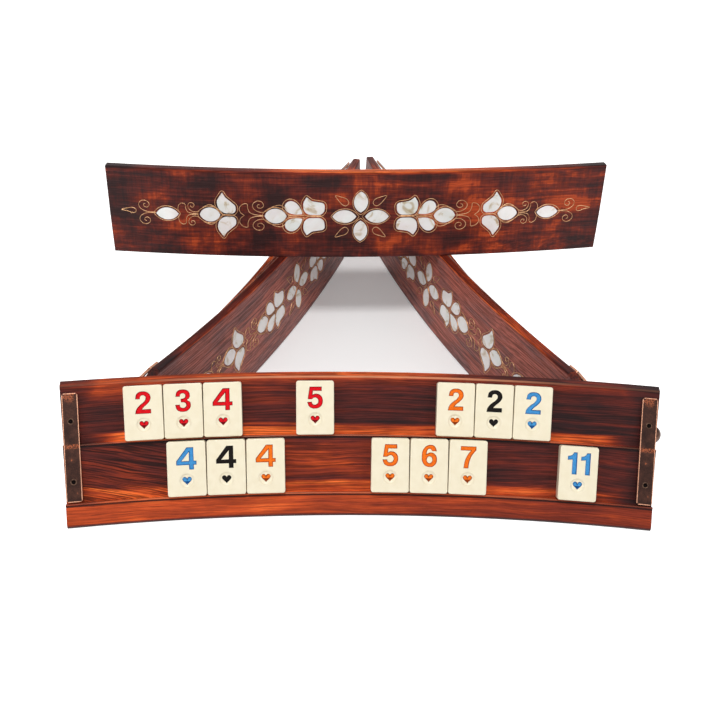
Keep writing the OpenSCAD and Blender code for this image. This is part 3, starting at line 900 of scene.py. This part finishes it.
def prism(loops, shift, low, high):
    """A closed prism between two heights from outlines, holes left open, narrower at both its ends."""
    data = bpy.data.curves.new("figure", "CURVE")
    data.dimensions = "2D"
    data.fill_mode = "BOTH"
    data.extrude = (high - low) / 2 - SLOPING
    data.bevel_depth = SLOPING
    data.bevel_resolution = 0
    data.offset = -SLOPING
    data.resolution_u = 6
    for hole, loop in enumerate(loops):
        area = sum(a[0] * b[1] - b[0] * a[1] for a, b in zip(loop, loop[1:] + loop[:1]))
        if (area > 0) == (hole > 0):
            loop = loop[::-1]
        loop = bolder(loop, BOLDER)
        spline = data.splines.new("BEZIER")
        spline.bezier_points.add(len(loop) - 1)
        spline.use_cyclic_u = True
        for p, (x, y, kind) in zip(spline.bezier_points, loop):
            p.co = (x + shift[0], y + shift[1], 0)
            p.handle_left_type = p.handle_right_type = kind
    o = bpy.data.objects.new("figure", data)
    bpy.context.scene.collection.objects.link(o)
    bpy.context.view_layer.update()
    mesh = evaluated(o)
    bpy.data.objects.remove(o)
    mesh.transform(Matrix.Translation((0, 0, (high + low) / 2)))
    clean(mesh, 0.002, lambda bm: bmesh.ops.recalc_face_normals(bm, faces=bm.faces))
    return mesh


def dimple_mesh():
    """The cutter of the round dimple."""
    rings = []
    for radius, z in DIMPLE:
        angles = [2 * math.pi * k / DIMPLE_SIDES for k in range(DIMPLE_SIDES)]
        rings.append([(radius * math.cos(a), DIMPLE_Y + radius * math.sin(a), TILE_T + z) for a in angles])
    rings.append([(x, y, TILE_T + PROUD) for x, y, _ in rings[-1]])
    return stack("dimple", rings)


def heart_mesh():
    """The cutter of the heart, which narrows to a point in depth."""
    points = []
    for k in range(HEART_POINTS):
        # The points beside the notch and the tip are left out, where both sides all but touch.
        if k % (HEART_POINTS // 2) in (1, HEART_POINTS // 2 - 1):
            continue
        t = 2 * math.pi * k / HEART_POINTS
        y = 13 * math.cos(t) - 5 * math.cos(2 * t) - 2 * math.cos(3 * t) - math.cos(4 * t)
        points.append((-16 * math.sin(t) ** 3, y + 2))
    levels = [(size, TILE_T - DIMPLE_T - depth) for size, depth in HEART_STEPS] + [(1.04, TILE_T + PROUD)]
    rings = []
    for size, z in levels:
        size *= HEART_W / 32
        rings.append([(x * size, DIMPLE_Y + y * size - 0.1, z) for x, y in points])
    return stack("heart", rings)


def cut(o, cutter_mesh, painted=True):
    """Takes the cutter out of o. A painted cut leaves paint, with a darker paint on its walls and deepest
    parts as painted shade.
    """
    cutter = new_object("cutter", cutter_mesh, *o.data.materials)
    for face in cutter_mesh.polygons:
        # Walls take the darker paint, which is painted shade.
        wall = abs(face.normal.z) < 0.9 and face.center.z < TILE_T - 0.1
        face.material_index = (2 if wall else 1) if painted else 0
    taking = o.modifiers.new("engrave", "BOOLEAN")
    taking.operation = "DIFFERENCE"
    taking.solver = "EXACT"
    taking.use_self = True
    taking.object = cutter
    bpy.context.view_layer.update()
    mesh = evaluated(o)
    o.modifiers.clear()
    o.data = mesh
    bpy.data.objects.remove(cutter)
    # Points that all but touch after a cut become one, and faces without area go.
    clean(mesh, 0.003, lambda bm: bmesh.ops.dissolve_degenerate(bm, edges=bm.edges, dist=0.003))
    mesh.validate()


def build_tile(tier, middle, spot, number, colour):
    """A tile with its number and heart engraved and filled."""
    node = f"tile_{tier}_{number}_{colour}"
    o = new_object(f"engraved_{node}", card_mesh(node), MELAMINE, *PAINTS[colour])
    cut(o, dimple_mesh(), painted=False)
    cut(o, heart_mesh())
    x = -(sum(FIGURES[c][0] for c in number) + KERN * (len(number) - 1)) / 2
    for c in number:
        width, loops = FIGURES[c]
        cut(o, prism(loops, (x, FIGURE_LOW), TILE_T - ENGRAVED, TILE_T + PROUD))
        x += width + KERN
    ledge, sink = (MID_W, UPPER_SINK) if tier == "upper" else (RAIL_W, LOWER_SINK)
    seat = slope_point(ledge + LEDGE_D * math.tan(sink), LEDGE_D)
    on_bow = middle + spot * TILE_PITCH * BOW_R / (BOW_R + seat.x)
    o.data.transform(
        place("front") @ along_bow(on_bow) @ Matrix.Translation((0, seat.x, seat.y))
        @ Matrix.Rotation(math.pi / 2 - LEAN + sink, 4, "X") @ Matrix.Translation((0, TILE_GAP, TILE_GAP)))
    o.data.polygons.foreach_set("use_smooth", [True] * len(o.data.polygons))
    o.data.set_sharp_from_angle(angle=math.radians(25))
    steady = o.modifiers.new("steady normals", "WEIGHTED_NORMAL")
    steady.keep_sharp = True
    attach(o, node)
    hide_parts(node)


for tier, middle, tiles in RUNS:
    for spot, number, colour in tiles:
        build_tile(tier, middle, spot, number, colour)


# Floor, light and camera.

# How much the floor glows to the camera, as painted light: in the open, where the glow hides every shadow,
# and between the racks, near the front one and further back.
FLOOR_GLOW, NEAR_GLOW, SHADED_GLOW = 0.9, 0.36, 0.19
# The room's light on the object, and its white behind it.
ROOM_LIGHT, ROOM_WHITE = 0.3, 1.0
# Soft boxes: place, aim, width and height, all in metres, and watts. A small one is high in front, whose
# light the engravings and dimples show, and a broad one is on either side.
SOFT_BOXES = {
    "high soft box": ((-0.12, -0.5, 1.29), (0, 0.08, 0.05), (0.3, 0.25), 9.5),
    "left soft box": ((-0.95, -0.9, 0.75), (0, 0.12, 0.05), (0.6, 0.6), 4.2),
    "right soft box": ((0.95, -0.9, 0.75), (0, 0.12, 0.05), (0.6, 0.6), 4.2),
}
# The photograph's viewpoint: place in millimetres, yaw, pitch and roll in degrees, and focal length in
# pixels of a picture 720 pixels wide.
CAMERA_AT = (-21.997, -501.502, 418.392)
CAMERA_YAW, CAMERA_PITCH, CAMERA_ROLL = 2.327, 34.137, 1.871
FOCAL, PICTURE, SENSOR = 949.305, 720, 36


def build_floor():
    """White paper floor with a painted glow to the camera and in reflections: pure white in the open, where
    it hides the shadows, and weaker between the two side racks, where a soft shadow shows.
    """
    mesh = bpy.data.meshes.new("floor")
    mesh.from_pydata([(-4, -4, 0), (4, -4, 0), (4, 6, 0), (-4, 6, 0)], [], [(0, 1, 2, 3)])
    m, tree = new_finish("white paper floor")
    rays = add(tree, "ShaderNodeLightPath").node.outputs
    seen = add(tree, MATH, rays["Is Camera Ray"], rays["Is Glossy Ray"], operation="MAXIMUM")
    x, y, _ = add(tree, SPLIT, millimetres(tree)).node.outputs
    inside = add(tree, RANGE, y, -40, -5, **SMOOTH)
    for rack, side in (("left", 1), ("right", -1)):
        (at_x, at_y, _), turn = RACKS[rack]
        behind = add(tree, MATH, y, at_y, operation="SUBTRACT")
        line = add(tree, MATH, behind, 1 / math.tan(math.radians(turn)), at_x, operation="MULTIPLY_ADD")
        beyond = overlap(tree, add(tree, MATH, x, line, operation="SUBTRACT"), side)
        inside = overlap(tree, inside, add(tree, RANGE, beyond, -60, -10, **SMOOTH))
    shaded = add(tree, RANGE, y, 25, 130, NEAR_GLOW, SHADED_GLOW, **SMOOTH)
    level = add(tree, MIX, inside, FLOOR_GLOW, shaded)
    glow = add(tree, "ShaderNodeEmission", Strength=overlap(tree, seen, level))
    paper = add(tree, "ShaderNodeBsdfDiffuse", linear("#eeeeee"))
    add(tree, "ShaderNodeOutputMaterial", add(tree, "ShaderNodeAddShader", paper, glow))
    new_object("paper_floor", mesh, m)


def build_world():
    """A white room: even light on the object, and pure white behind it."""
    world = bpy.data.worlds.new("white room")
    bpy.context.scene.world = world
    world.use_nodes = True
    tree = world.node_tree
    tree.nodes.clear()
    rays = add(tree, "ShaderNodeLightPath").node.outputs
    seen = add(tree, MATH, rays["Is Glossy Ray"], rays["Is Transmission Ray"], operation="MAXIMUM")
    seen = add(tree, MATH, rays["Is Camera Ray"], seen, operation="MAXIMUM")
    level = add(tree, MIX, seen, ROOM_LIGHT, ROOM_WHITE)
    add(tree, "ShaderNodeOutputWorld", add(tree, "ShaderNodeBackground", (1, 1, 1, 1), level))


def build_soft_box(name, at, aim, size, watts):
    """A lamp with a broad rectangular face."""
    data = bpy.data.lights.new(name, "AREA")
    data.shape = "RECTANGLE"
    data.size, data.size_y = size
    data.energy = watts
    o = bpy.data.objects.new(name, data)
    bpy.context.scene.collection.objects.link(o)
    o.location = at
    o.rotation_euler = (Vector(aim) - Vector(at)).to_track_quat("-Z", "Y").to_euler()


def build_camera():
    """The photograph's viewpoint."""
    yaw, pitch, roll = (math.radians(a) for a in (CAMERA_YAW, CAMERA_PITCH, CAMERA_ROLL))
    ahead = Vector((math.sin(yaw) * math.cos(pitch), math.cos(yaw) * math.cos(pitch), -math.sin(pitch)))
    right = Vector((math.cos(yaw), -math.sin(yaw), 0))
    up = right.cross(ahead)
    x_axis = math.cos(roll) * right + math.sin(roll) * up
    y_axis = math.cos(roll) * up - math.sin(roll) * right
    turn = Matrix((x_axis, y_axis, -ahead)).transposed().to_4x4()
    data = bpy.data.cameras.new("camera")
    data.sensor_width = SENSOR
    data.lens = FOCAL / PICTURE * SENSOR
    data.clip_start, data.clip_end = 0.01, 50
    o = bpy.data.objects.new("camera", data)
    bpy.context.scene.collection.objects.link(o)
    o.matrix_world = Matrix.Translation(Vector(CAMERA_AT) * MM) @ turn
    bpy.context.scene.camera = o


build_floor()
build_world()
for name, box in SOFT_BOXES.items():
    build_soft_box(name, *box)
build_camera()
view = bpy.context.scene.view_settings
view.view_transform = "Standard"
view.look = "None"
